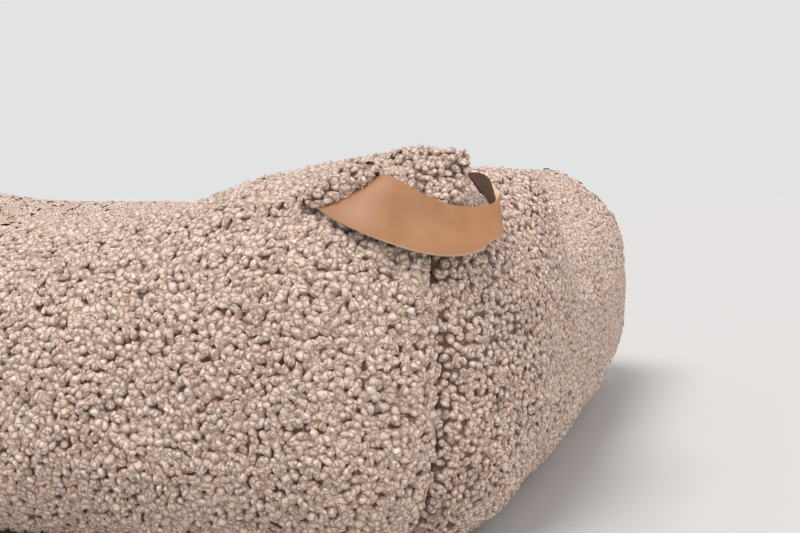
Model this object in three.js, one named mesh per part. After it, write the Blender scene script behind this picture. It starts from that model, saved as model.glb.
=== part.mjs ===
// A rectangular dog bed: four filled bolsters, mitred into a raised rim round a lying cushion,
// and a leather carrying loop sewn into the top seam at one corner.
// Millimetres, +Z up. The origin is on the floor under the middle of the bed, and the loop is
// at the corner where the front (-Y) and right (+X) bolsters meet.
import * as THREE from 'three';

// Outside sizes of the rim, at the middle of each bolster
const bedLength = 1000;
const bedDepth = 760;

// Bolsters
const rimThickness = 170;
const outerCorner = 115; // radius of the rim's corners, outside
const innerCorner = 45; // and inside
const crown = 4; // how far each bolster's outer wall bows out at its middle
const topRoundness = 2.8; // 2 is an ellipse, more is boxier
const footRoundness = 3;
const bellyLevel = 0.5; // where the section is widest, of its height
const cornerHeight = 228;
const sagReach = 300; // how far from a corner a bolster keeps sinking
const sagPower = 1.4;
const footSink = 7; // how far the section would reach below the floor that flattens it
const seamGap = 0.3; // between neighbouring pieces
const mitrePinch = 6; // how far the mitre seam draws the bolster in
const mitrePinchReach = 11;
const seamLevel = 52; // degrees up the outer wall at which the top seam runs
const seamDepth = 4;
const seamSpread = 7; // degrees

// The sections that a bolster is made of, and the points of one
const sectionsNearMitre = [0, 5, 11, 18, 25, 32, 40, 51, 66, 83, 103, 127]; // distances from the mitre
const sectionSpacing = 42; // about, between the others
const pointsRound = 24;
const pointsAtSeam = [-1.2, -0.5, 0, 0.5, 1.2]; // in seam spreads from the seam's level
const seamClearance = 1.6; // and the other points keep this far from it

// Cloth that stands up beside the top seam. Each is a soft bump: its distance from a mitre (below zero
// is past the mitre, on the next bolster), its level in degrees up the outer wall, how far it rises,
// how far it leans out for each millimetre of that, and its reach along and round the bolster.
const plainEar = { distance: 0, level: 58, rise: 2, lean: 0.4, reach: 22, spread: 24 };
const loopEar = { distance: 22, level: 74, rise: 11, lean: 0.6, reach: 22, spread: 17 };
const earSide = { distance: 37, level: 61, rise: 20, lean: 0.75, reach: 12, spread: 13 };
const loopLip = { distance: 26, level: 58, rise: 9, lean: 0.3, reach: 24, spread: 18 };
const topRoll = { distance: 104, level: 96, rise: 6, lean: 0, reach: 34, spread: 34 };
const loopShoulder = { distance: 172, level: 56, rise: 30, lean: 0.6, reach: 68, spread: 34 };

const pastMitre = (puff) => ({ ...puff, distance: -puff.distance });

// One row for each bolster, anticlockwise from the front. The loop's corner is where the first ends.
const bolsters = [
  {
    name: 'bolster_front', run: bedLength, reach: bedDepth, middleHeight: 182, phase: 0.4,
    atStart: [plainEar], atEnd: [pastMitre(loopEar), pastMitre(earSide), loopLip, topRoll],
  },
  {
    name: 'bolster_right', run: bedDepth, reach: bedLength, middleHeight: 190, phase: 2.1,
    atStart: [loopEar, earSide, pastMitre(loopLip), loopShoulder], atEnd: [plainEar],
  },
  {
    name: 'bolster_back', run: bedLength, reach: bedDepth, middleHeight: 184, phase: 3.7,
    atStart: [plainEar], atEnd: [plainEar],
  },
  {
    name: 'bolster_left', run: bedDepth, reach: bedLength, middleHeight: 190, phase: 5.2,
    atStart: [plainEar], atEnd: [plainEar],
  },
];

// Soft unevenness: waves along a bolster (turns per metre) and round it
const lumps = [
  { height: 1.6, alongTurns: 5.3, roundTurns: 1, shift: 0.0 },
  { height: 1.3, alongTurns: 9.1, roundTurns: 2, shift: 1.9 },
  { height: 0.9, alongTurns: 14.7, roundTurns: 3, shift: 4.1 },
];
const lumpFade = 40; // distance from a mitre over which they grow to their full height

// The leather loop. Its lower and upper edges run from the top seam of the front bolster, across the
// corner and back into the top seam of the right one. An end is a distance from the mitre and a level up
// the outer wall. A point is along the corner to the right, out from its upright seam, and up.
const loopThickness = 2.2;
const loopSteps = 44;
const loopLift = 4.6; // of the ends' middle layer off the cloth
const loopEdges = {
  lower: {
    front: { fromMitre: 66, level: 52 },
    right: { fromMitre: 56, level: 50 },
    points: [
      { along: -50, out: -24, up: 191.5 },
      { along: -39, out: -8, up: 184 },
      { along: -20, out: 2, up: 176.5 },
      { along: -4, out: 4, up: 173 },
      { along: 12, out: 4, up: 172.5 },
      { along: 24, out: 3, up: 175 },
      { along: 33, out: -1, up: 179 },
      { along: 42, out: -5.5, up: 181.5 },
      { along: 47, out: -13, up: 186.5 },
      { along: 48.5, out: -20.5, up: 192 },
    ],
  },
  upper: {
    front: { fromMitre: 28, level: 52 },
    right: { fromMitre: 65, level: 66 },
    points: [
      { along: -21, out: -17, up: 214 },
      { along: -11, out: -9, up: 207 },
      { along: 1, out: -9, up: 202 },
      { along: 12, out: -11, up: 198.5 },
      { along: 25, out: -14, up: 197 },
      { along: 37, out: -17, up: 197 },
      { along: 47, out: -21, up: 199 },
      { along: 54, out: -27, up: 203 },
      { along: 57, out: -35.5, up: 208.5 },
      { along: 56, out: -45.5, up: 215 },
    ],
  },
};

// The lying cushion, which fills the space between the bolsters
const cushionFit = 2.6; // its edge reaches this far past the bolsters' inner curve, under their bellies
const cushionCorner = 47;
const cushionEdge = 46; // height of its edge
const cushionCrown = 92; // and of its middle
const cushionFlat = 0.9; // share of it that lies flat on the floor
const cushionFullness = 3.4; // how level its top stays from the middle outward
const cushionShoulder = 0.6; // how steeply it comes down to its edge, less being steeper
const cushionPerSide = 18;
const cushionRings = 8;

const degrees = Math.PI / 180;
const upAxis = new THREE.Vector3(0, 0, 1);

const quarterTurn = (quarter) => (quarter * Math.PI) / 2;

const bump = (x, reach) => Math.exp(-((x / reach) ** 2));

const signedPower = (x, power) => Math.sign(x) * Math.abs(x) ** power;

// A closed tube through rings of points, capped flat. Seen from the last ring, the rings run clockwise.
function loft(rings) {
  const around = rings[0].length;
  const positions = rings.flat().flatMap((p) => [p.x, p.y, p.z]);
  const index = [];
  for (let i = 0; i + 1 < rings.length; i += 1) {
    for (let j = 0; j < around; j += 1) {
      const a = i * around + j;
      const b = i * around + ((j + 1) % around);
      index.push(a, b + around, b, a, a + around, b + around);
    }
  }
  const capFan = (ring, first, last) => {
    const middle = positions.length / 3;
    const centre = ring.reduce((sum, p) => sum.add(p), new THREE.Vector3()).divideScalar(around);
    positions.push(centre.x, centre.y, centre.z);
    for (let j = 0; j < around; j += 1) {
      const a = first + j;
      const b = first + ((j + 1) % around);
      index.push(...(last ? [middle, b, a] : [middle, a, b]));
    }
  };
  capFan(rings[0], 0, false);
  capFan(rings[rings.length - 1], (rings.length - 1) * around, true);
  const geometry = new THREE.BufferGeometry();
  geometry.setAttribute('position', new THREE.Float32BufferAttribute(positions, 3));
  geometry.setIndex(index);
  geometry.computeVertexNormals();
  return geometry;
}

// One side of a rounded rectangle, from mitre to mitre: x along the side, y outward from the middle.
function sideCurve(run, reach, radius) {
  const straight = run / 2 - radius;
  const half = straight + (radius * Math.PI) / 4;
  const at = (s) => {
    const turn = Math.max(0, Math.abs(s) - straight) / radius;
    const x = Math.min(Math.abs(s), straight) + radius * Math.sin(turn);
    return new THREE.Vector2(Math.sign(s) * x, reach / 2 - radius * (1 - Math.cos(turn)));
  };
  return { straight, half, at };
}

// The lines that a bolster's outer and inner walls follow, seen from above.
function bolsterSides(row) {
  const outerInset = 2 * crown;
  const innerInset = outerInset + 2 * rimThickness;
  return {
    outer: sideCurve(row.run - outerInset, row.reach - outerInset, outerCorner),
    inner: sideCurve(row.run - innerInset, row.reach - innerInset, innerCorner),
  };
}

// Where a bolster has a section, along its outer side, closer together near the mitres.
function stations(half) {
  const middle = half - sectionsNearMitre[sectionsNearMitre.length - 1];
  const steps = Math.round(middle / sectionSpacing);
  const ends = sectionsNearMitre.map((distance) => half - distance);
  const inside = Array.from({ length: steps - 1 }, (_, i) => middle * (1 - (i + 1) / steps));
  const positive = [...ends, ...inside];
  return [...positive.map((s) => -s), 0, ...positive.reverse()];
}

// Angles round a section from the outer wall (0) over the top (90), with extra ones at the top seam.
function sectionAngles() {
  const even = Array.from({ length: pointsRound }, (_, i) => (i * 360) / pointsRound);
  const clear = even.filter((angle) => Math.abs(angle - seamLevel) > seamClearance * seamSpread);
  const atSeam = pointsAtSeam.map((spreads) => seamLevel + spreads * seamSpread);
  return [...clear, ...atSeam].sort((a, b) => a - b);
}

function lumpAt(row, s, angle) {
  const wave = (lump) => Math.sin(2 * Math.PI * lump.alongTurns * (s / 1000) + lump.shift + row.phase)
    * Math.cos(lump.roundTurns * angle + lump.shift - row.phase);
  return lumps.reduce((sum, lump) => sum + lump.height * wave(lump), 0);
}

// A bolster's section at s along its outer side: where it stands, its size, and what raises its corner.
function sectionAt(row, s) {
  const { outer, inner } = bolsterSides(row);
  const past = Math.max(0, Math.abs(s) - inner.straight) / (outer.half - inner.straight);
  const along = Math.min(Math.abs(s), inner.straight) + past * (inner.half - inner.straight);
  const outerPoint = outer.at(s);
  const innerPoint = inner.at(Math.sign(s) * along);
  outerPoint.y += crown * Math.cos(((Math.PI / 2) * s) / outer.half) ** 2;

  const fromStart = outer.half + s;
  const fromEnd = outer.half - s;
  const fromMitre = Math.min(fromStart, fromEnd);
  const pinch = mitrePinch * bump(fromMitre, mitrePinchReach);
  const raisedEnd = Math.max(0, 1 - fromMitre / sagReach) ** sagPower;
  const height = row.middleHeight + (cornerHeight - row.middleHeight) * raisedEnd;
  const belly = height * bellyLevel;
  const strengthen = (from) => (puff) => ({ ...puff, strength: bump(from - puff.distance, puff.reach) });
  return {
    fromMitre,
    onMitre: fromMitre < 1,
    puffs: [...row.atStart.map(strengthen(fromStart)), ...row.atEnd.map(strengthen(fromEnd))],
    centre: outerPoint.clone().add(innerPoint).multiplyScalar(0.5),
    outward: outerPoint.clone().sub(innerPoint).normalize(),
    halfWidth: outerPoint.distanceTo(innerPoint) / 2 - pinch,
    belly,
    above: height - belly - pinch,
    below: belly + footSink - pinch,
  };
}

// The point of a section at an angle, in degrees, in the bolster's own frame.
function sectionPoint(row, s, angle, section = sectionAt(row, s)) {
  const a = angle * degrees;
  const upper = Math.sin(a) > 0;
  const power = 2 / (upper ? topRoundness : footRoundness);
  const groove = seamDepth * bump(angle - seamLevel, seamSpread);
  const facing = Math.cos(a / 2) ** 2; // 1 at the outer wall, 0 at the inner one, which is even
  const fade = section.onMitre ? 0 : Math.min(1, section.fromMitre / lumpFade);
  const swell = facing * fade * lumpAt(row, s, a) - groove;
  let out = signedPower(Math.cos(a), power) * (section.halfWidth + swell);
  let up = signedPower(Math.sin(a), power) * ((upper ? section.above : section.below) + swell);
  section.puffs.forEach((puff) => {
    const rise = puff.rise * puff.strength * bump(angle - puff.level, puff.spread);
    out += puff.lean * rise;
    up += rise;
  });
  const back = section.onMitre ? Math.sign(s) * seamGap * Math.SQRT1_2 : 0; // off the mitre's plane
  return new THREE.Vector3(
    section.centre.x + section.outward.x * out - back,
    -(section.centre.y + section.outward.y * out),
    Math.max(0, section.belly + up),
  );
}

function bolsterGeometry(row) {
  const angles = sectionAngles();
  return loft(stations(bolsterSides(row).outer.half).map((s) => {
    const section = sectionAt(row, s);
    return angles.map((angle) => sectionPoint(row, s, angle, section));
  }));
}

// The floor point under the outermost line of the mitre seam at the loop's corner.
function cornerPoint() {
  const front = bolsters[0];
  return sectionPoint(front, bolsterSides(front).outer.half, 0).setZ(0);
}

// Where an end of the loop is sewn in, lifted off the cloth there.
function loopEnd(quarter, { fromMitre, level }) {
  const row = bolsters[quarter];
  const { half } = bolsterSides(row).outer;
  const s = quarter === 0 ? half - fromMitre : fromMitre - half;
  const section = sectionAt(row, s);
  const slope = level * degrees;
  const lift = new THREE.Vector3(
    section.outward.x * Math.cos(slope),
    -section.outward.y * Math.cos(slope),
    Math.sin(slope),
  ).multiplyScalar(loopLift);
  return sectionPoint(row, s, level, section).add(lift).applyAxisAngle(upAxis, quarterTurn(quarter));
}

// A strap between two edge curves, of even thickness.
function loopGeometry() {
  const corner = cornerPoint();
  const along = new THREE.Vector3(Math.SQRT1_2, Math.SQRT1_2, 0);
  const out = new THREE.Vector3(Math.SQRT1_2, -Math.SQRT1_2, 0);
  const place = (p) => corner.clone()
    .addScaledVector(along, p.along)
    .addScaledVector(out, p.out)
    .setZ(p.up);
  const edgeCurve = (edge) => new THREE.CatmullRomCurve3(
    [loopEnd(0, edge.front), ...edge.points.map(place), loopEnd(1, edge.right)],
  );
  const lower = edgeCurve(loopEdges.lower);
  const upper = edgeCurve(loopEdges.upper);
  return loft(Array.from({ length: loopSteps + 1 }, (_, i) => {
    const t = i / loopSteps;
    const low = lower.getPoint(t);
    const high = upper.getPoint(t);
    const travel = lower.getTangent(t).add(upper.getTangent(t));
    const face = new THREE.Vector3().subVectors(high, low).cross(travel).setLength(loopThickness / 2);
    return [
      low.clone().add(face), low.clone().sub(face),
      high.clone().sub(face), high.clone().add(face),
    ];
  }));
}

// The cushion's outline on the floor, clockwise.
function cushionOutline() {
  const inset = 2 * (crown + rimThickness - cushionFit);
  return [0, 1, 2, 3].flatMap((quarter) => {
    const { run, reach } = bolsters[quarter];
    const side = sideCurve(run - inset, reach - inset, cushionCorner);
    return Array.from({ length: cushionPerSide }, (_, i) => {
      const p = side.at(side.half * ((2 * i) / cushionPerSide - 1));
      return new THREE.Vector3(p.x, -p.y, 0).applyAxisAngle(upAxis, quarterTurn(quarter));
    });
  }).reverse();
}

// The cushion's rings are its outline, made smaller: up its foot to the edge, then in over the crown.
function cushionGeometry() {
  const outline = cushionOutline();
  const eighths = Array.from({ length: cushionRings }, (_, i) => quarterTurn(i / cushionRings));
  const foot = eighths.map((turn) => ({
    share: cushionFlat + (1 - cushionFlat) * Math.sin(turn),
    up: cushionEdge * (1 - Math.cos(turn)),
  }));
  const top = eighths.map((turn) => {
    const share = Math.cos(turn);
    const rise = (1 - share ** cushionFullness) ** cushionShoulder;
    return { share, up: cushionEdge + (cushionCrown - cushionEdge) * rise };
  });
  return loft([...foot, ...top].map(({ share, up }) => (
    outline.map((p) => p.clone().multiplyScalar(share).setZ(up))
  )));
}

const bouclePile = new THREE.MeshStandardMaterial({ color: 0xc9b3a3, roughness: 0.95, metalness: 0 });

const loopLeather = new THREE.MeshStandardMaterial({ color: 0xb5825a, roughness: 0.55, metalness: 0 });

const bed = new THREE.Group();

bolsters.forEach((row, quarter) => {
  const bolster = new THREE.Mesh(bolsterGeometry(row), bouclePile);
  bolster.name = row.name;
  bolster.rotation.z = quarterTurn(quarter);
  bed.add(bolster);
});

const cushion = new THREE.Mesh(cushionGeometry(), bouclePile);
cushion.name = 'lying_cushion';
bed.add(cushion);

const loop = new THREE.Mesh(loopGeometry(), loopLeather);
loop.name = 'corner_loop';
bed.add(loop);

export default bed;
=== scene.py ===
# A rectangular dog bed of curly pile: four bolsters round a lying cushion, and a leather
# carrying loop at the near right corner. Metres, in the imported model's frame.
import math
import random

import bmesh
import bpy
from mathutils import Matrix, Vector


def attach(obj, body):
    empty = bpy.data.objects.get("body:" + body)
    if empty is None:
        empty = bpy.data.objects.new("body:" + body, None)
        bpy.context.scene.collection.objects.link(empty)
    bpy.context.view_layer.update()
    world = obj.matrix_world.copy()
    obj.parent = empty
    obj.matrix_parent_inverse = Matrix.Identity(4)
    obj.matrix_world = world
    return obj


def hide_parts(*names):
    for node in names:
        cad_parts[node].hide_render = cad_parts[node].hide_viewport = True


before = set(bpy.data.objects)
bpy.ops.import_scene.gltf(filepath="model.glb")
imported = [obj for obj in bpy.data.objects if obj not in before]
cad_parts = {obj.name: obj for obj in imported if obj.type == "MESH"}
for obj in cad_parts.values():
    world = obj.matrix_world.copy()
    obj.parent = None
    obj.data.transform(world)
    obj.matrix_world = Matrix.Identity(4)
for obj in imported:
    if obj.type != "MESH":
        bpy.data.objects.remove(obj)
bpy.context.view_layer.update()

sceneCollection = bpy.context.scene.collection
loopCorner = Vector((0.458, -0.338, 0.0))  # the upright seam under the loop


# Camera, light and floor

photo = {
    "place": (0.6095, -0.9241, 0.212),
    "turn": 16.5,  # degrees to the left of +Y
    "dip": 4.3,
    "lens": 51.75,
    "sensor": 36.0,
    "seenFrom": 0.02,
    "seenTo": 60.0,
}


def makeCamera():
    data = bpy.data.cameras.new("photo_camera")
    data.lens = photo["lens"]
    data.sensor_width = photo["sensor"]
    data.clip_start = photo["seenFrom"]
    data.clip_end = photo["seenTo"]
    camera = bpy.data.objects.new("photo_camera", data)
    camera.location = photo["place"]
    camera.rotation_euler = (math.radians(90 - photo["dip"]), 0, math.radians(photo["turn"]))
    sceneCollection.objects.link(camera)
    bpy.context.scene.camera = camera


studio = {
    "wall": (0.765, 0.768, 0.775),  # what the camera sees behind the bed
    "sky": (0.80, 0.81, 0.83),
    "skyStrength": 0.68,
    "floor": (0.575, 0.555, 0.54),
    "floorReach": 14.0,
    "floorRoughness": 0.6,
    "floorShine": 0.2,
}

lamps = [
    {"name": "window", "toward": (-0.22, -0.42, 0.88), "spread": 30, "power": 2.5},
    {"name": "fill", "toward": (0.85, -0.30, 0.45), "spread": 60, "power": 1.25},
]


def makeLamp(row):
    data = bpy.data.lights.new(row["name"], "SUN")
    data.energy = row["power"]
    data.angle = math.radians(row["spread"])
    lamp = bpy.data.objects.new(row["name"], data)
    lamp.rotation_euler = Vector(row["toward"]).to_track_quat("Z", "Y").to_euler()
    sceneCollection.objects.link(lamp)


# The sky lights the bed less brightly than the wall shows behind it.
def makeSky():
    sky = bpy.data.worlds.new("studio_sky")
    sky.use_nodes = True
    nodes = sky.node_tree.nodes
    links = sky.node_tree.links
    light = nodes["Background"]
    light.inputs["Color"].default_value = (*studio["sky"], 1)
    light.inputs["Strength"].default_value = studio["skyStrength"]
    seen = nodes.new("ShaderNodeBackground")
    seen.inputs["Color"].default_value = (*studio["wall"], 1)
    choice = nodes.new("ShaderNodeMixShader")
    links.new(nodes.new("ShaderNodeLightPath").outputs["Is Camera Ray"], choice.inputs[0])
    links.new(light.outputs[0], choice.inputs[1])
    links.new(seen.outputs[0], choice.inputs[2])
    links.new(choice.outputs[0], nodes["World Output"].inputs["Surface"])
    bpy.context.scene.world = sky


def makeStudio():
    makeSky()
    bpy.context.scene.view_settings.view_transform = "Standard"
    for row in lamps:
        makeLamp(row)
    shape = bmesh.new()
    bmesh.ops.create_circle(shape, cap_ends=True, segments=96, radius=studio["floorReach"])
    floor = pieceFrom(shape, "studio_floor")
    material, nodes, links, shader = newMaterial("pale_floor")
    shader.inputs["Base Color"].default_value = (*studio["floor"], 1)
    shader.inputs["Roughness"].default_value = studio["floorRoughness"]
    shader.inputs["Specular IOR Level"].default_value = studio["floorShine"]
    floor.data.materials.append(material)


# Helpers

mergeDistance = 2e-5


def pieceFrom(shape, name):
    mesh = bpy.data.meshes.new(name)
    shape.to_mesh(mesh)
    shape.free()
    piece = bpy.data.objects.new(name, mesh)
    sceneCollection.objects.link(piece)
    return piece


def applyModifiers(piece):
    graph = bpy.context.evaluated_depsgraph_get()
    ready = piece.evaluated_get(graph)
    mesh = bpy.data.meshes.new_from_object(ready, preserve_all_data_layers=True, depsgraph=graph)
    piece.modifiers.clear()
    old = piece.data
    piece.data = mesh
    bpy.data.meshes.remove(old)
    mesh.name = piece.name


# A copy of a node's mesh, with its loose triangles merged.
def mergedNode(node):
    shape = bmesh.new()
    shape.from_mesh(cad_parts[node].data)
    bmesh.ops.remove_doubles(shape, verts=shape.verts, dist=mergeDistance)
    bmesh.ops.recalc_face_normals(shape, faces=shape.faces)
    return shape


def smooth(piece):
    for face in piece.data.polygons:
        face.use_smooth = True


# Materials

def newMaterial(name):
    material = bpy.data.materials.new(name)
    material.use_nodes = True
    nodes = material.node_tree.nodes
    return material, nodes, material.node_tree.links, nodes["Principled BSDF"]


# A socket takes a plain number, a colour or another node's output.
def feed(links, socket, value):
    if isinstance(value, (float, int)):
        socket.default_value = value
    elif isinstance(value, tuple):
        socket.default_value = (*value, 1)
    else:
        links.new(value, socket)


def noiseNode(nodes, links, vector, scale, detail, roughness=0.55):
    node = nodes.new("ShaderNodeTexNoise")
    values = {"Vector": vector, "Scale": scale, "Detail": detail, "Roughness": roughness}
    for name, value in values.items():
        feed(links, node.inputs[name], value)
    return node


def mixColours(nodes, links, factor, first, second):
    node = nodes.new("ShaderNodeMix")
    node.data_type = "RGBA"
    # Sockets 6 and 7 are the colours A and B, and output 2 is the mixed colour.
    for place, value in ((0, factor), (6, first), (7, second)):
        feed(links, node.inputs[place], value)
    return node.outputs[2]


# A value stretched from one range to another, each given as a pair.
def remap(nodes, links, value, fromRange, toRange=(0.0, 1.0)):
    node = nodes.new("ShaderNodeMapRange")
    node.inputs["From Min"].default_value, node.inputs["From Max"].default_value = fromRange
    node.inputs["To Min"].default_value, node.inputs["To Max"].default_value = toRange
    links.new(value, node.inputs["Value"])
    return node.outputs["Result"]


def attribute(nodes, name):
    node = nodes.new("ShaderNodeAttribute")
    node.attribute_name = name
    return node.outputs["Fac"]


def bumpNode(nodes, links, height, strength, distance, under=None):
    node = nodes.new("ShaderNodeBump")
    for name, value in (("Height", height), ("Strength", strength), ("Distance", distance)):
        feed(links, node.inputs[name], value)
    if under:
        links.new(under, node.inputs["Normal"])
    return node.outputs["Normal"]


# A shader node group that takes a place and some numbers, and gives some values and a normal.
def newGroup(name, takes, gives):
    group = bpy.data.node_groups.new(name, "ShaderNodeTree")
    group.interface.new_socket("Place", in_out="INPUT", socket_type="NodeSocketVector")
    for socket in takes:
        group.interface.new_socket(socket, in_out="INPUT", socket_type="NodeSocketFloat")
    for socket in gives:
        group.interface.new_socket(socket, in_out="OUTPUT", socket_type="NodeSocketFloat")
    group.interface.new_socket("Normal", in_out="OUTPUT", socket_type="NodeSocketVector")
    start = group.nodes.new("NodeGroupInput")
    finish = group.nodes.new("NodeGroupOutput")
    return group, group.nodes, group.links, start.outputs, finish.inputs


def placeGroup(nodes, links, group, values):
    node = nodes.new("ShaderNodeGroup")
    node.node_tree = group
    links.new(nodes.new("ShaderNodeTexCoord").outputs["Object"], node.inputs["Place"])
    for name, value in values.items():
        node.inputs[name].default_value = value
    return node


wool = {
    # root is the colour of painted shade, at the curls' roots and in the lines round the yarn loops.
    "root": (0.125, 0.068, 0.046),
    "body": (0.60, 0.395, 0.295),
    "rose": (0.67, 0.430, 0.335),
    # tip and cream are the wool's own paler colours, and also make the painted highlight on curl tops, lobes
    # and raised fibres.
    "tip": (0.85, 0.65, 0.53),
    "cream": (0.93, 0.775, 0.665),
    # The backing's browns are painted shade for the gaps between curls, darker at the loops' edges.
    "backingShadeDark": (0.15, 0.085, 0.055),
    "backingShadePale": (0.36, 0.235, 0.170),
    "patchScale": 26.0,
    "loopDrift": 0.0030,  # how far a loop's outline wanders
    "loopRound": (0.05, 0.75),  # distances from a loop's middle, in loops, over which it falls away
    "lineWidth": 0.16,  # of the painted shade line round a loop
    "curlDepth": 0.0007,
    "backingDepth": 0.0012,
    "relief": {"Loop Scale": 215.0, "Strand Scale": 900.0, "Fibre Scale": 2200.0,
               "Loop Depth": 0.0024, "Fibre Depth": 0.0003},
    "roughness": 0.95,
    "shine": 0.08,
    "sheen": 0.30,
    "sheenRoughness": 0.55,
}

# How each mask works on the wool's colour: its range, and the share of the colour at either end.
woolMasks = {
    "patches": ((0.35, 0.65), (0.0, 0.35)),
    "paleCurls": ((0.4, 1.0), (0.0, 1.0)),
    # painted highlight: curls paler on their tops and lobes, where their painted light level is high
    "tips": ((0.40, 0.95), (0.0, 1.0)),
    # painted shade in the hollows between strands
    "strandShade": ((0.62, 0.36), (0.0, 0.35)),
    # painted shade lines round the yarn loops
    "loopLineShade": ((0.0, 1.0), (0.72, 0.0)),
    # painted highlight on the raised fibres
    "fibreHighlight": ((0.5, 0.75), (0.0, 0.35)),
    # painted shade toward the curls' roots and undersides
    "rootShade": ((0.05, 0.62), (1.0, 0.0)),
}


# Yarn seen close: small loops with lines between them that carry painted shade, twisted strands and finer
# fibres.
def makeYarnGroup():
    takes = ["Loop Scale", "Strand Scale", "Fibre Scale", "Loop Depth", "Strand Depth", "Fibre Depth"]
    gives = ["Loops", "Lines", "Strands", "Fibres"]
    group, nodes, links, start, finish = newGroup("yarn_relief", takes, gives)
    place = start["Place"]
    strands = noiseNode(nodes, links, place, start["Strand Scale"], 2.0, 0.6).outputs["Fac"]
    fibres = noiseNode(nodes, links, place, start["Fibre Scale"], 4.0, 0.7).outputs["Fac"]
    drift = noiseNode(nodes, links, place, start["Loop Scale"], 1.0, 0.5).outputs["Color"]
    bent = nodes.new("ShaderNodeVectorMath")
    bent.operation = "MULTIPLY_ADD"
    bent.inputs[1].default_value = (wool["loopDrift"],) * 3
    links.new(drift, bent.inputs[0])
    links.new(place, bent.inputs[2])
    loops = nodes.new("ShaderNodeTexVoronoi")
    edges = nodes.new("ShaderNodeTexVoronoi")
    edges.feature = "DISTANCE_TO_EDGE"
    for cells in (loops, edges):
        links.new(bent.outputs[0], cells.inputs["Vector"])
        links.new(start["Loop Scale"], cells.inputs["Scale"])
    rounded = remap(nodes, links, loops.outputs["Distance"], wool["loopRound"], (1.0, 0.0))
    lines = remap(nodes, links, edges.outputs["Distance"], (0.0, wool["lineWidth"]))
    broad = bumpNode(nodes, links, rounded, 1.0, start["Loop Depth"])
    coarse = bumpNode(nodes, links, strands, 0.8, start["Strand Depth"], broad)
    fine = bumpNode(nodes, links, fibres, 0.7, start["Fibre Depth"], coarse)
    ends = {"Loops": rounded, "Lines": lines, "Strands": strands, "Fibres": fibres, "Normal": fine}
    for name, value in ends.items():
        links.new(value, finish[name])
    return group


def finishWool(shader):
    shader.inputs["Roughness"].default_value = wool["roughness"]
    shader.inputs["Specular IOR Level"].default_value = wool["shine"]
    shader.inputs["Sheen Weight"].default_value = wool["sheen"]
    shader.inputs["Sheen Roughness"].default_value = wool["sheenRoughness"]


# The knitted backing that shows between the curls. Its browns are painted shade for the gaps between curls,
# paler in the loops' middles and darker at their edges as painted shade following the loop relief.
def makeBacking(yarn):
    material, nodes, links, shader = newMaterial("pile_backing")
    relief = placeGroup(nodes, links, yarn, {**wool["relief"], "Strand Depth": wool["backingDepth"]})
    loops = relief.outputs["Loops"]
    # Painted shade: the loops paler in their middles, darker toward their edges.
    colour = mixColours(nodes, links, loops, wool["backingShadeDark"], wool["backingShadePale"])
    links.new(colour, shader.inputs["Base Color"])
    links.new(relief.outputs["Normal"], shader.inputs["Normal"])
    finishWool(shader)
    return material


# Curled wool, uneven from curl to curl; paler on its tops and lobes as painted highlight, darker toward its
# root as painted shade.
def makeWool(yarn):
    material, nodes, links, shader = newMaterial("curly_pile")
    relief = placeGroup(nodes, links, yarn, {**wool["relief"], "Strand Depth": wool["curlDepth"]})
    place = nodes.new("ShaderNodeTexCoord").outputs["Object"]
    patches = noiseNode(nodes, links, place, wool["patchScale"], 2.0).outputs["Fac"]
    # The painted light level that each curl and wisp carries.
    depth = attribute(nodes, "pileDepth")
    tone = attribute(nodes, "curlTone")

    def mask(value, name):
        return remap(nodes, links, value, *woolMasks[name])

    body = mixColours(nodes, links, tone, wool["body"], wool["rose"])
    body = mixColours(nodes, links, mask(patches, "patches"), body, wool["tip"])
    pale = mixColours(nodes, links, mask(tone, "paleCurls"), wool["tip"], wool["cream"])
    # Painted highlight on the curls' tops and lobes, painted shade at their waists, by their painted light
    # level.
    colour = mixColours(nodes, links, mask(depth, "tips"), body, pale)
    layers = [
        # painted shade in the strand hollows
        (relief.outputs["Strands"], "strandShade", "body"),
        # painted shade lines round the yarn loops
        (relief.outputs["Lines"], "loopLineShade", "root"),
        # painted highlight on the raised fibres
        (relief.outputs["Fibres"], "fibreHighlight", "cream"),
        # painted shade toward the roots
        (depth, "rootShade", "root"),
    ]
    for value, name, over in layers:
        colour = mixColours(nodes, links, mask(value, name), colour, wool[over])
    links.new(colour, shader.inputs["Base Color"])
    links.new(relief.outputs["Normal"], shader.inputs["Normal"])
    finishWool(shader)
    return material


leather = {
    "grainScale": 1900.0,
    "poreScale": 3200.0,
    "cloudScale": 42.0,
    "cloudRange": (0.32, 0.68),
    "poreRange": (0.3, 0.7),
    "polish": (-0.05, 0.06),  # how the pores change the roughness
    "shine": 0.38,
}

# The strap's three surfaces, in the order of its material slots.
leatherSides = [
    {"name": "loop_grain_side", "first": (0.385, 0.180, 0.081), "second": (0.310, 0.135, 0.057),
     "roughness": 0.44, "depth": 0.00012},
    # The flesh side is its own dark brown, darkened further as painted shade.
    {"name": "loop_flesh_side", "first": (0.042, 0.020, 0.011), "second": (0.072, 0.035, 0.020),
     "roughness": 0.85, "depth": 0.00024},
    {"name": "loop_cut_edge", "first": (0.72, 0.50, 0.35), "second": (0.58, 0.36, 0.22),
     "roughness": 0.7, "depth": 0.00012},
]


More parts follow.
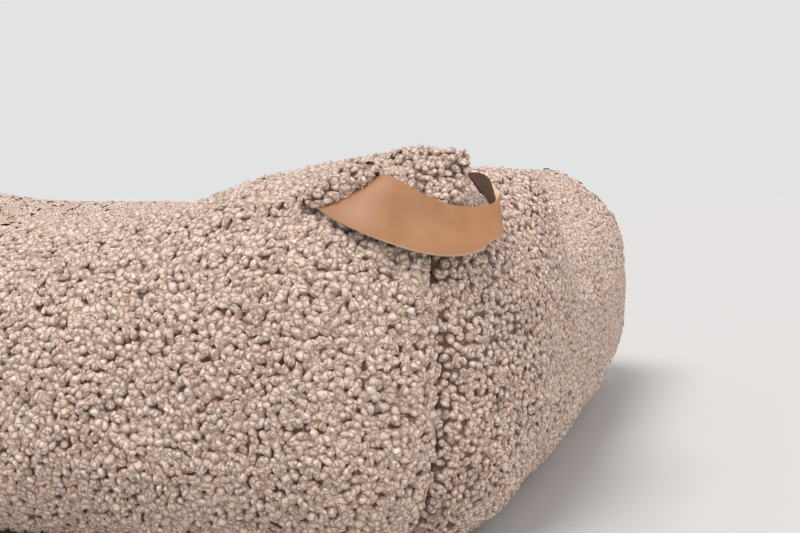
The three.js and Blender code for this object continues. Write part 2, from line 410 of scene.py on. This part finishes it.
# Leather's fine pebbled grain and pores, with the cloudiness of its dye.
def makeGrainGroup():
    group, nodes, links, start, finish = newGroup(
        "leather_grain", ["Grain Scale", "Pore Scale", "Depth"], ["Clouds", "Pores"]
    )
    place = start["Place"]
    clouds = noiseNode(nodes, links, place, leather["cloudScale"], 5.0, 0.6).outputs["Fac"]
    grain = nodes.new("ShaderNodeTexVoronoi")
    links.new(place, grain.inputs["Vector"])
    links.new(start["Grain Scale"], grain.inputs["Scale"])
    pores = noiseNode(nodes, links, place, start["Pore Scale"], 2.0, 0.6).outputs["Fac"]
    under = bumpNode(nodes, links, grain.outputs["Distance"], 0.5, start["Depth"])
    fine = bumpNode(nodes, links, pores, 0.5, start["Depth"], under)
    for name, value in (("Clouds", clouds), ("Pores", pores), ("Normal", fine)):
        links.new(value, finish[name])
    return group


def makeLeather(row, grain):
    material, nodes, links, shader = newMaterial(row["name"])
    relief = placeGroup(nodes, links, grain, {
        "Grain Scale": leather["grainScale"], "Pore Scale": leather["poreScale"], "Depth": row["depth"],
    })
    clouds = remap(nodes, links, relief.outputs["Clouds"], leather["cloudRange"])
    dye = mixColours(nodes, links, clouds, row["first"], row["second"])
    links.new(dye, shader.inputs["Base Color"])
    polish = tuple(row["roughness"] + change for change in leather["polish"])
    rough = remap(nodes, links, relief.outputs["Pores"], leather["poreRange"], polish)
    links.new(rough, shader.inputs["Roughness"])
    links.new(relief.outputs["Normal"], shader.inputs["Normal"])
    shader.inputs["Specular IOR Level"].default_value = leather["shine"]
    return material


# Filled cloth under the pile

cloth = {
    "under": 0.0032,  # how far the backing lies inside the pile's tips
    "pressure": 3.5,
    "quality": 4,
    "mass": 0.3,
    "frames": 16,
    "cap": 0.004,  # how far a point may swell from where it starts
    "pinned": 0.012,  # from a mitre seam
    "solePinned": 0.004,  # from the level of the sole
    "smoothing": 0.2,
    "mitreReach": 0.006,  # where the cloth keeps its distance from the mitre
}

bolsters = [
    {"node": "bolster_front", "name": "front_bolster", "fill": 0.72, "voxel": 0.007},
    {"node": "bolster_right", "name": "right_bolster", "fill": 0.72, "voxel": 0.007},
    {"node": "bolster_back", "name": "back_bolster", "fill": 0.72, "voxel": 0.011},
    {"node": "bolster_left", "name": "left_bolster", "fill": 0.72, "voxel": 0.011},
]


cushion = {"node": "lying_cushion", "name": "cushion", "fill": 0.6, "voxel": 0.011}

halfSides = (0.5, 0.38)  # of the rim, whose corners the mitres cut in half

outwardOf = {
    "front_bolster": Vector((0, -1, 0)),
    "right_bolster": Vector((1, 0, 0)),
    "back_bolster": Vector((0, 1, 0)),
    "left_bolster": Vector((-1, 0, 0)),
}


# How far a point is from the nearest of the four mitre planes.
def fromMitre(point):
    excess = (halfSides[0] - halfSides[1]) / math.sqrt(2)
    return abs((abs(point.x) - abs(point.y)) / math.sqrt(2) - excess)


# The level way that is square to the mitre nearest to a point.
def acrossMitre(point):
    return Vector((1, -math.copysign(1, point.x * point.y), 0)).normalized()


def fillCloth(piece):
    pins = piece.vertex_groups.new(name="seams")
    for vertex in piece.data.vertices:
        atSole = vertex.co.z < cloth["under"] + cloth["solePinned"]
        if atSole or fromMitre(vertex.co) < cloth["pinned"]:
            pins.add([vertex.index], 1.0, "ADD")
    start = [vertex.co.copy() for vertex in piece.data.vertices]
    swell = piece.modifiers.new("swell", "CLOTH")
    swell.settings.quality = cloth["quality"]
    swell.settings.mass = cloth["mass"]
    swell.settings.use_pressure = True
    swell.settings.uniform_pressure_force = cloth["pressure"]
    swell.settings.vertex_group_mass = "seams"
    swell.settings.effector_weights.gravity = 0
    swell.point_cache.frame_start = 1
    swell.point_cache.frame_end = cloth["frames"]
    for number in range(1, cloth["frames"] + 1):
        bpy.context.scene.frame_set(number)
    applyModifiers(piece)
    for vertex, before in zip(piece.data.vertices, start):
        moved = vertex.co - before
        if moved.length > cloth["cap"]:
            vertex.co = before + moved * (cloth["cap"] / moved.length)
    piece.vertex_groups.clear()
    bpy.context.scene.frame_set(1)


# The backing lies under the pile all over, apart from a bolster's ends, which meet at the mitres.
def drawIn(piece):
    normals = [vertex.normal.copy() for vertex in piece.data.vertices]
    for vertex, normal in zip(piece.data.vertices, normals):
        if fromMitre(vertex.co) < cloth["mitreReach"]:
            across = acrossMitre(vertex.co)
            normal -= across * normal.dot(across)
        vertex.co -= normal * cloth["under"]


def makeFilledPiece(row, backing):
    piece = pieceFrom(mergedNode(row["node"]), row["name"])
    remesh = piece.modifiers.new("remesh", "REMESH")
    remesh.mode = "VOXEL"
    remesh.voxel_size = row["voxel"]
    applyModifiers(piece)
    drawIn(piece)
    fillCloth(piece)
    shape = bmesh.new()
    shape.from_mesh(piece.data)
    bmesh.ops.smooth_vert(
        shape, verts=shape.verts, factor=cloth["smoothing"],
        use_axis_x=True, use_axis_y=True, use_axis_z=True,
    )
    shape.to_mesh(piece.data)
    shape.free()
    smooth(piece)
    piece.data.materials.clear()
    piece.data.materials.append(backing)
    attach(piece, "root")
    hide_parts(row["node"])
    print("filled", row["name"], len(piece.data.polygons), "faces")
    return piece


# Curls of the pile

curls = {
    "loose": {
        "detail": 2, "radius": 0.0046, "lobes": (3, 5), "lump": 0.34, "lumpWidth": 0.55,
        "height": 0.86, "stretch": (0.80, 1.25), "open": -0.25, "kinds": 16, "seed": 11,
    },
    "tight": {
        "detail": 2, "radius": 0.0035, "lobes": (1, 3), "lump": 0.24, "lumpWidth": 0.75,
        "height": 0.90, "stretch": (0.85, 1.22), "open": -0.25, "kinds": 12, "seed": 12,
    },
    "middle": {
        "detail": 1, "radius": 0.0042, "lobes": (1, 2), "lump": 0.14, "lumpWidth": 0.9,
        "height": 0.90, "stretch": (0.85, 1.25), "open": -0.50, "kinds": 8, "seed": 13,
    },
    "plain": {
        "detail": 1, "radius": 0.0064, "lobes": (1, 2), "lump": 0.14, "lumpWidth": 0.9,
        "height": 0.72, "stretch": (0.85, 1.25), "open": -0.20, "kinds": 8, "seed": 14,
    },
}

# What every kind of curl has in common.
curlForm = {
    "lobeGain": 1.35,  # of a lobe's height over the dip between lobes
    "uneven": 0.04,
    "lowestLobe": -0.1,
    # The three pale values set each curl's painted light level: higher upward and on its lobes, for painted
    # highlight and painted shade.
    "paleBase": 0.28,  # the painted light level at a curl's waist, away from its lobes
    "paleRise": 0.42,
    "paleLobe": 0.45,
}

# A wisp is a strand of yarn that has sprung out of its curl.
wisp = {
    "thick": 0.00020,
    "length": 0.0070,
    "lengths": (0.7, 1.2),
    "steps": 4,
    "bend": (0.25, 0.65),
    "taper": 0.82,
    # a wisp's painted light level, as high as on a lit curl top: a painted highlight
    "paleness": 0.9,
    "kinds": 10,
    "seed": 31,
}


def makeWisp(dice, woolMaterial):
    shape = bmesh.new()
    depth = shape.verts.layers.float.new("pileDepth")
    ring = bmesh.ops.create_circle(shape, cap_ends=False, segments=3, radius=wisp["thick"])["verts"]
    line = list({edge for vertex in ring for edge in vertex.link_edges})
    spin = dice.uniform(0, math.tau)
    axis = Vector((math.cos(spin), math.sin(spin), 0))
    bend = dice.uniform(*wisp["bend"])
    step = wisp["length"] * dice.uniform(*wisp["lengths"]) / wisp["steps"]
    heading = Vector((0, 0, 1))
    for _ in range(wisp["steps"]):
        grown = bmesh.ops.extrude_edge_only(shape, edges=line)["geom"]
        ring = [part for part in grown if isinstance(part, bmesh.types.BMVert)]
        line = [part for part in grown if isinstance(part, bmesh.types.BMEdge)]
        middle = sum((v.co for v in ring), Vector()) / len(ring) + heading * step
        bmesh.ops.translate(shape, verts=ring, vec=heading * step)
        turn = Matrix.Rotation(bend, 3, axis)
        bmesh.ops.rotate(shape, verts=ring, cent=middle, matrix=turn)
        narrower = (wisp["taper"],) * 3
        bmesh.ops.scale(shape, verts=ring, vec=narrower, space=Matrix.Translation(-middle))
        heading = turn @ heading
    # A wisp carries the painted light level of a lit curl top, a painted highlight.
    for vertex in shape.verts:
        vertex[depth] = wisp["paleness"]
    bmesh.ops.recalc_face_normals(shape, faces=shape.faces)
    for face in shape.faces:
        face.smooth = True
    made = pieceFrom(shape, "wisp")
    made.data.materials.append(woolMaterial)
    return made


def anyWay(dice, lowest):
    rise = dice.uniform(lowest, 1.0)
    turn = dice.uniform(0, math.tau)
    level = math.sqrt(1 - rise * rise)
    return Vector((level * math.cos(turn), level * math.sin(turn), rise))


# One curl is a ball pushed out into a few soft lobes, open where it sinks into the cloth.
def makeCurl(row, dice, woolMaterial):
    shape = bmesh.new()
    depth = shape.verts.layers.float.new("pileDepth")
    bmesh.ops.create_icosphere(shape, subdivisions=row["detail"], radius=1.0)
    lobes = [anyWay(dice, curlForm["lowestLobe"]) for _ in range(dice.randint(*row["lobes"]))]
    wide = row["radius"] * dice.uniform(*row["stretch"])
    deep = row["radius"] * row["radius"] / wide
    for vertex in shape.verts:
        way = vertex.co.normalized()
        lump = max(math.exp(-(way.angle(lobe) / row["lumpWidth"]) ** 2) for lobe in lobes)
        # Painted light level: higher upward and on the lobes, lower at the waist and underside, giving
        # painted highlight and painted shade.
        pale = curlForm["paleBase"] + curlForm["paleRise"] * way.z + curlForm["paleLobe"] * lump
        vertex[depth] = min(1.0, max(0.0, pale))
        reach = 1 - row["lump"] + curlForm["lobeGain"] * row["lump"] * lump
        reach *= 1 + dice.gauss(0, curlForm["uneven"])
        shaped = (way.x * wide, way.y * deep, way.z * row["radius"] * row["height"])
        vertex.co = Vector(shaped) * reach
    sunk = [v for v in shape.verts if v.co.z < row["open"] * row["radius"]]
    bmesh.ops.delete(shape, geom=sunk, context="VERTS")
    for face in shape.faces:
        face.smooth = True
    curl = pieceFrom(shape, "curl")
    curl.data.materials.append(woolMaterial)
    return curl


# A hidden collection of one kind's shapes, for the scatter to choose from.
def makeKinds(kind, woolMaterial):
    row = wisp if kind == "wisp" else curls[kind]
    dice = random.Random(row["seed"])
    kinds = bpy.data.collections.new("curls_" + kind)
    for _ in range(row["kinds"]):
        made = makeWisp(dice, woolMaterial) if kind == "wisp" else makeCurl(row, dice, woolMaterial)
        sceneCollection.objects.unlink(made)
        kinds.objects.link(made)
    return kinds


# How the scatter varies its shapes, and how closely it first tries to set them.
scatterForm = {
    "smallest": (0.78, 0.78, 0.72),
    "largest": (1.22, 1.22, 1.18),
    "tries": 8.0,  # in a square as wide as the spacing
}


# Geometry nodes that set curls all over the marked part of a cloth, as real faces.
def scatterTree(kinds, row):
    tree = bpy.data.node_groups.new(row["name"], "GeometryNodeTree")
    tree.interface.new_socket("Geometry", in_out="INPUT", socket_type="NodeSocketGeometry")
    tree.interface.new_socket("Geometry", in_out="OUTPUT", socket_type="NodeSocketGeometry")
    nodes = tree.nodes
    links = tree.links
    start = nodes.new("NodeGroupInput")
    finish = nodes.new("NodeGroupOutput")

    zone = nodes.new("GeometryNodeInputNamedAttribute")
    zone.data_type = "FLOAT"
    zone.inputs["Name"].default_value = "zone"
    chosen = nodes.new("FunctionNodeCompare")
    chosen.data_type = "FLOAT"
    chosen.operation = "GREATER_THAN"
    chosen.inputs[1].default_value = 0.5
    links.new(zone.outputs["Attribute"], chosen.inputs[0])

    spots = nodes.new("GeometryNodeDistributePointsOnFaces")
    spots.distribute_method = "POISSON"
    spots.inputs["Distance Min"].default_value = row["spacing"]
    spots.inputs["Density Max"].default_value = scatterForm["tries"] / row["spacing"] ** 2
    spots.inputs["Seed"].default_value = row["seed"]
    links.new(start.outputs[0], spots.inputs["Mesh"])
    links.new(chosen.outputs[0], spots.inputs["Selection"])

    tone = nodes.new("FunctionNodeRandomValue")
    tone.data_type = "FLOAT"
    keep = nodes.new("GeometryNodeStoreNamedAttribute")
    keep.data_type = "FLOAT"
    keep.domain = "POINT"
    keep.inputs["Name"].default_value = "curlTone"
    links.new(spots.outputs["Points"], keep.inputs["Geometry"])
    links.new(tone.outputs[1], keep.inputs["Value"])

    spin = nodes.new("FunctionNodeRandomValue")
    spin.data_type = "FLOAT_VECTOR"
    spin.inputs[0].default_value = (-row["tilt"], -row["tilt"], 0)
    spin.inputs[1].default_value = (row["tilt"], row["tilt"], math.tau)
    toTurn = nodes.new("FunctionNodeEulerToRotation")
    links.new(spin.outputs[0], toTurn.inputs[0])
    turn = nodes.new("FunctionNodeRotateRotation")
    turn.rotation_space = "LOCAL"
    links.new(spots.outputs["Rotation"], turn.inputs[0])
    links.new(toTurn.outputs[0], turn.inputs[1])

    size = nodes.new("FunctionNodeRandomValue")
    size.data_type = "FLOAT_VECTOR"
    for place, limit in enumerate(("smallest", "largest")):
        size.inputs[place].default_value = tuple(row["size"] * part for part in scatterForm[limit])

    shapes = nodes.new("GeometryNodeCollectionInfo")
    shapes.inputs["Collection"].default_value = kinds
    shapes.inputs["Separate Children"].default_value = True
    shapes.inputs["Reset Children"].default_value = True
    put = nodes.new("GeometryNodeInstanceOnPoints")
    put.inputs["Pick Instance"].default_value = True
    links.new(keep.outputs["Geometry"], put.inputs["Points"])
    links.new(shapes.outputs[0], put.inputs["Instance"])
    links.new(turn.outputs[0], put.inputs["Rotation"])
    links.new(size.outputs[0], put.inputs["Scale"])
    real = nodes.new("GeometryNodeRealizeInstances")
    links.new(put.outputs[0], real.inputs["Geometry"])
    links.new(real.outputs[0], finish.inputs[0])
    return tree


def makePile(under, kinds, row):
    shape = bmesh.new()
    shape.from_mesh(under.data)
    pile = pieceFrom(shape, row["name"])
    covered(pile, row)
    scatter = pile.modifiers.new("scatter", "NODES")
    scatter.node_group = scatterTree(kinds, row)
    applyModifiers(pile)
    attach(pile, "root")
    print("pile", row["name"], len(pile.data.polygons), "faces")


# The parts that a pile covers: from and to a distance from the loop's corner, on one side.
allOver = [(0.0, 9.0, "outer"), (0.0, 9.0, "inner")]

pileZones = [
    {"name": "front_pile_near", "cloth": "front_bolster", "kind": "loose", "spacing": 0.0039, "size": 1.0,
     "tilt": 0.5, "parts": [(0.0, 0.275, "outer")], "seed": 1},
    {"name": "front_pile", "cloth": "front_bolster", "kind": "plain", "spacing": 0.0049, "size": 1.0,
     "tilt": 0.4, "parts": [(0.0, 9.0, "inner"), (0.275, 9.0, "outer")], "seed": 2},
    {"name": "right_pile_near", "cloth": "right_bolster", "kind": "tight", "spacing": 0.0037, "size": 1.0,
     "tilt": 0.4, "parts": [(0.0, 0.25, "outer")], "seed": 3},
    {"name": "right_pile_middle", "cloth": "right_bolster", "kind": "middle", "spacing": 0.0042, "size": 1.0,
     "tilt": 0.4, "parts": [(0.25, 0.62, "outer")], "seed": 8},
    {"name": "right_pile", "cloth": "right_bolster", "kind": "plain", "spacing": 0.0049, "size": 1.0,
     "tilt": 0.4, "parts": [(0.0, 9.0, "inner"), (0.62, 9.0, "outer")], "seed": 4},
    {"name": "back_pile", "cloth": "back_bolster", "kind": "plain", "spacing": 0.0049, "size": 1.0,
     "tilt": 0.4, "parts": allOver, "seed": 5},
    {"name": "left_pile", "cloth": "left_bolster", "kind": "plain", "spacing": 0.0049, "size": 1.0,
     "tilt": 0.4, "parts": allOver, "seed": 6},
    {"name": "front_wisps", "cloth": "front_bolster", "kind": "wisp", "spacing": 0.0062, "size": 1.0,
     "tilt": 1.1, "parts": [(0.0, 0.26, "outer")], "seed": 21},
    {"name": "right_wisps", "cloth": "right_bolster", "kind": "wisp", "spacing": 0.0072, "size": 0.9,
     "tilt": 1.1, "parts": [(0.0, 0.22, "outer")], "seed": 22},
    {"name": "cushion_pile", "cloth": "cushion", "kind": "plain", "spacing": 0.0049, "size": 1.0,
     "tilt": 0.4, "parts": allOver, "seed": 7},
]

bare = {
    "crest": -0.5,  # facing of the cloth where the outer side ends, just past the top
    "overlap": 0.12,  # of the two sides' piles there
    "spare": 0.009,  # and of a farther pile over a nearer one
    "sole": 0.84,  # the cloth that faces down more than this has no pile
    "hidden": 0.030,  # nor has an inner wall behind the cushion under this height
    "mitre": 0.004,  # nor an end face within this distance of its mitre
    "mitreFacing": 0.80,
}


# Marks the part of a cloth that this pile covers, in the attribute its scatter reads.
def covered(piece, row):
    marks = piece.data.attributes.new("zone", "FLOAT", "POINT")
    outward = outwardOf.get(row["cloth"], Vector((0, 0, 1)))
    for vertex, mark in zip(piece.data.vertices, marks.data):
        point, normal = vertex.co, vertex.normal
        reach = (Vector((point.x, point.y, 0)) - loopCorner).length
        facing = normal.dot(outward)
        sides = {
            "outer": facing > bare["crest"] - bare["overlap"],
            "inner": facing < bare["crest"] + bare["overlap"],
        }
        facesMitre = abs(normal.dot(acrossMitre(point))) > bare["mitreFacing"]
        isSole = normal.z < -bare["sole"]
        isHidden = point.z < bare["hidden"] and not sides["outer"]
        isEnd = fromMitre(point) < bare["mitre"] and facesMitre and row["cloth"] != "cushion"
        inZone = any(
            near - bare["spare"] <= reach < far and sides[side] for near, far, side in row["parts"]
        )
        mark.value = 1.0 if inZone and not (isSole or isHidden or isEnd) else 0.0


# Small folds of cloth beside the loop: a lip over its sewn near end, and the ear's crest behind it

folds = [
    {"name": "loop_lip", "middle": (0.4040, -0.3440, 0.2085), "along": (0.86, 0.27, 0.46),
     "half": (0.0225, 0.0062, 0.0075), "seed": 41},
    {"name": "ear_crest", "sunk": 0.0082, "along": (0.96, 0.28, 0.03),
     "half": (0.0165, 0.0075, 0.0055), "seed": 42},
]

foldPile = {"cloth": "front_bolster", "spacing": 0.0034, "size": 0.85, "tilt": 0.6, "parts": allOver}


# A fold that names no middle sits on the front bolster's highest point.
def makeFold(row, backing, kinds):
    points = [vertex.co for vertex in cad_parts["bolster_front"].data.vertices]
    peak = max(points, key=lambda point: point.z)
    middle = Vector(row["middle"]) if "middle" in row else peak - Vector((0, 0, row["sunk"]))
    turned = Vector(row["along"]).to_track_quat("X", "Z").to_matrix().to_4x4()
    placed = Matrix.Translation(middle) @ turned @ Matrix.Diagonal((*row["half"], 1))
    shape = bmesh.new()
    bmesh.ops.create_icosphere(shape, subdivisions=3, radius=1.0, matrix=placed)
    roll = pieceFrom(shape, row["name"])
    roll.data.materials.append(backing)
    smooth(roll)
    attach(roll, "root")
    makePile(roll, kinds, {**foldPile, "name": row["name"] + "_pile", "seed": row["seed"]})


# The leather loop

loop = {
    "rimAngle": 1.0,  # between faces, in radians, from which their edge is a rim
    "wideFace": 0.012,  # the longest edge from which a face is no part of the cut edge
    "joinBend": 0.9,  # the most that two triangles may bend and skew to be joined into a quad
    "joinSkew": 3.1,
    "rounds": 2,
    "bevel": 0.0005,
    "segments": 2,
    "flat": (0.033, 0.150),
}


def rimsOf(shape):
    between = [edge for edge in shape.edges if len(edge.link_faces) == 2]
    return [edge for edge in between if edge.calc_face_angle(0) > loop["rimAngle"]]


# The faces on one side of the strap, from a first face as far as the rims.
def sideFrom(first, rims):
    side = {first}
    edge = [first]
    while edge:
        face = edge.pop()
        for line in face.edges:
            for other in line.link_faces:
                if line not in rims and other not in side:
                    side.add(other)
                    edge.append(other)
    return side


# How much a side of the strap faces away from the strap's middle.
def outness(side, middle):
    return sum((f.calc_center_median() - middle).dot(f.normal) * f.calc_area() for f in side)


def makeLoop(materials):
    shape = mergedNode("corner_loop")
    creases = shape.edges.layers.float.new("crease_edge")
    bmesh.ops.join_triangles(
        shape, faces=shape.faces, cmp_seam=False, cmp_sharp=False, cmp_uvs=False, cmp_vcols=False,
        cmp_materials=False, angle_face_threshold=loop["joinBend"],
        angle_shape_threshold=loop["joinSkew"],
    )
    rims = set(rimsOf(shape))
    middle = sum((f.calc_center_median() for f in shape.faces), Vector()) / len(shape.faces)
    left = set(shape.faces)
    sides = []
    while left:
        sides.append(sideFrom(next(iter(left)), rims))
        left -= sides[-1]
    grainSide = max(sides, key=lambda side: outness(side, middle))
    grainSlot, fleshSlot, edgeSlot = range(len(materials))
    for face in shape.faces:
        isWide = max(edge.calc_length() for edge in face.edges) > loop["wideFace"]
        face.material_index = grainSlot if face in grainSide else fleshSlot if isWide else edgeSlot
    for line in rims:
        line[creases] = 1.0
    piece = pieceFrom(shape, "carrying_loop")
    for material in materials:
        piece.data.materials.append(material)
    finer = piece.modifiers.new("finer", "SUBSURF")
    finer.levels = loop["rounds"]
    finer.render_levels = loop["rounds"]
    applyModifiers(piece)
    shape = bmesh.new()
    shape.from_mesh(piece.data)
    bmesh.ops.bevel(
        shape, geom=rimsOf(shape), offset=loop["bevel"], segments=loop["segments"], profile=0.5,
        affect="EDGES", material=edgeSlot, clamp_overlap=True,
    )
    shape.to_mesh(piece.data)
    shape.free()
    smooth(piece)
    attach(piece, "root")
    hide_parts("corner_loop")
    print("loop", len(piece.data.polygons), "faces")


makeCamera()
makeStudio()
print("camera and studio ready")

yarn = makeYarnGroup()
backing = makeBacking(yarn)
pileWool = makeWool(yarn)
cloths = {row["name"]: makeFilledPiece(row, backing) for row in bolsters + [cushion]}

curlKinds = {kind: makeKinds(kind, pileWool) for kind in [*curls, "wisp"]}
for row in pileZones:
    makePile(cloths[row["cloth"]], curlKinds[row["kind"]], row)
for row in folds:
    makeFold(row, backing, curlKinds["loose"])

grain = makeGrainGroup()
makeLoop([makeLeather(row, grain) for row in leatherSides])
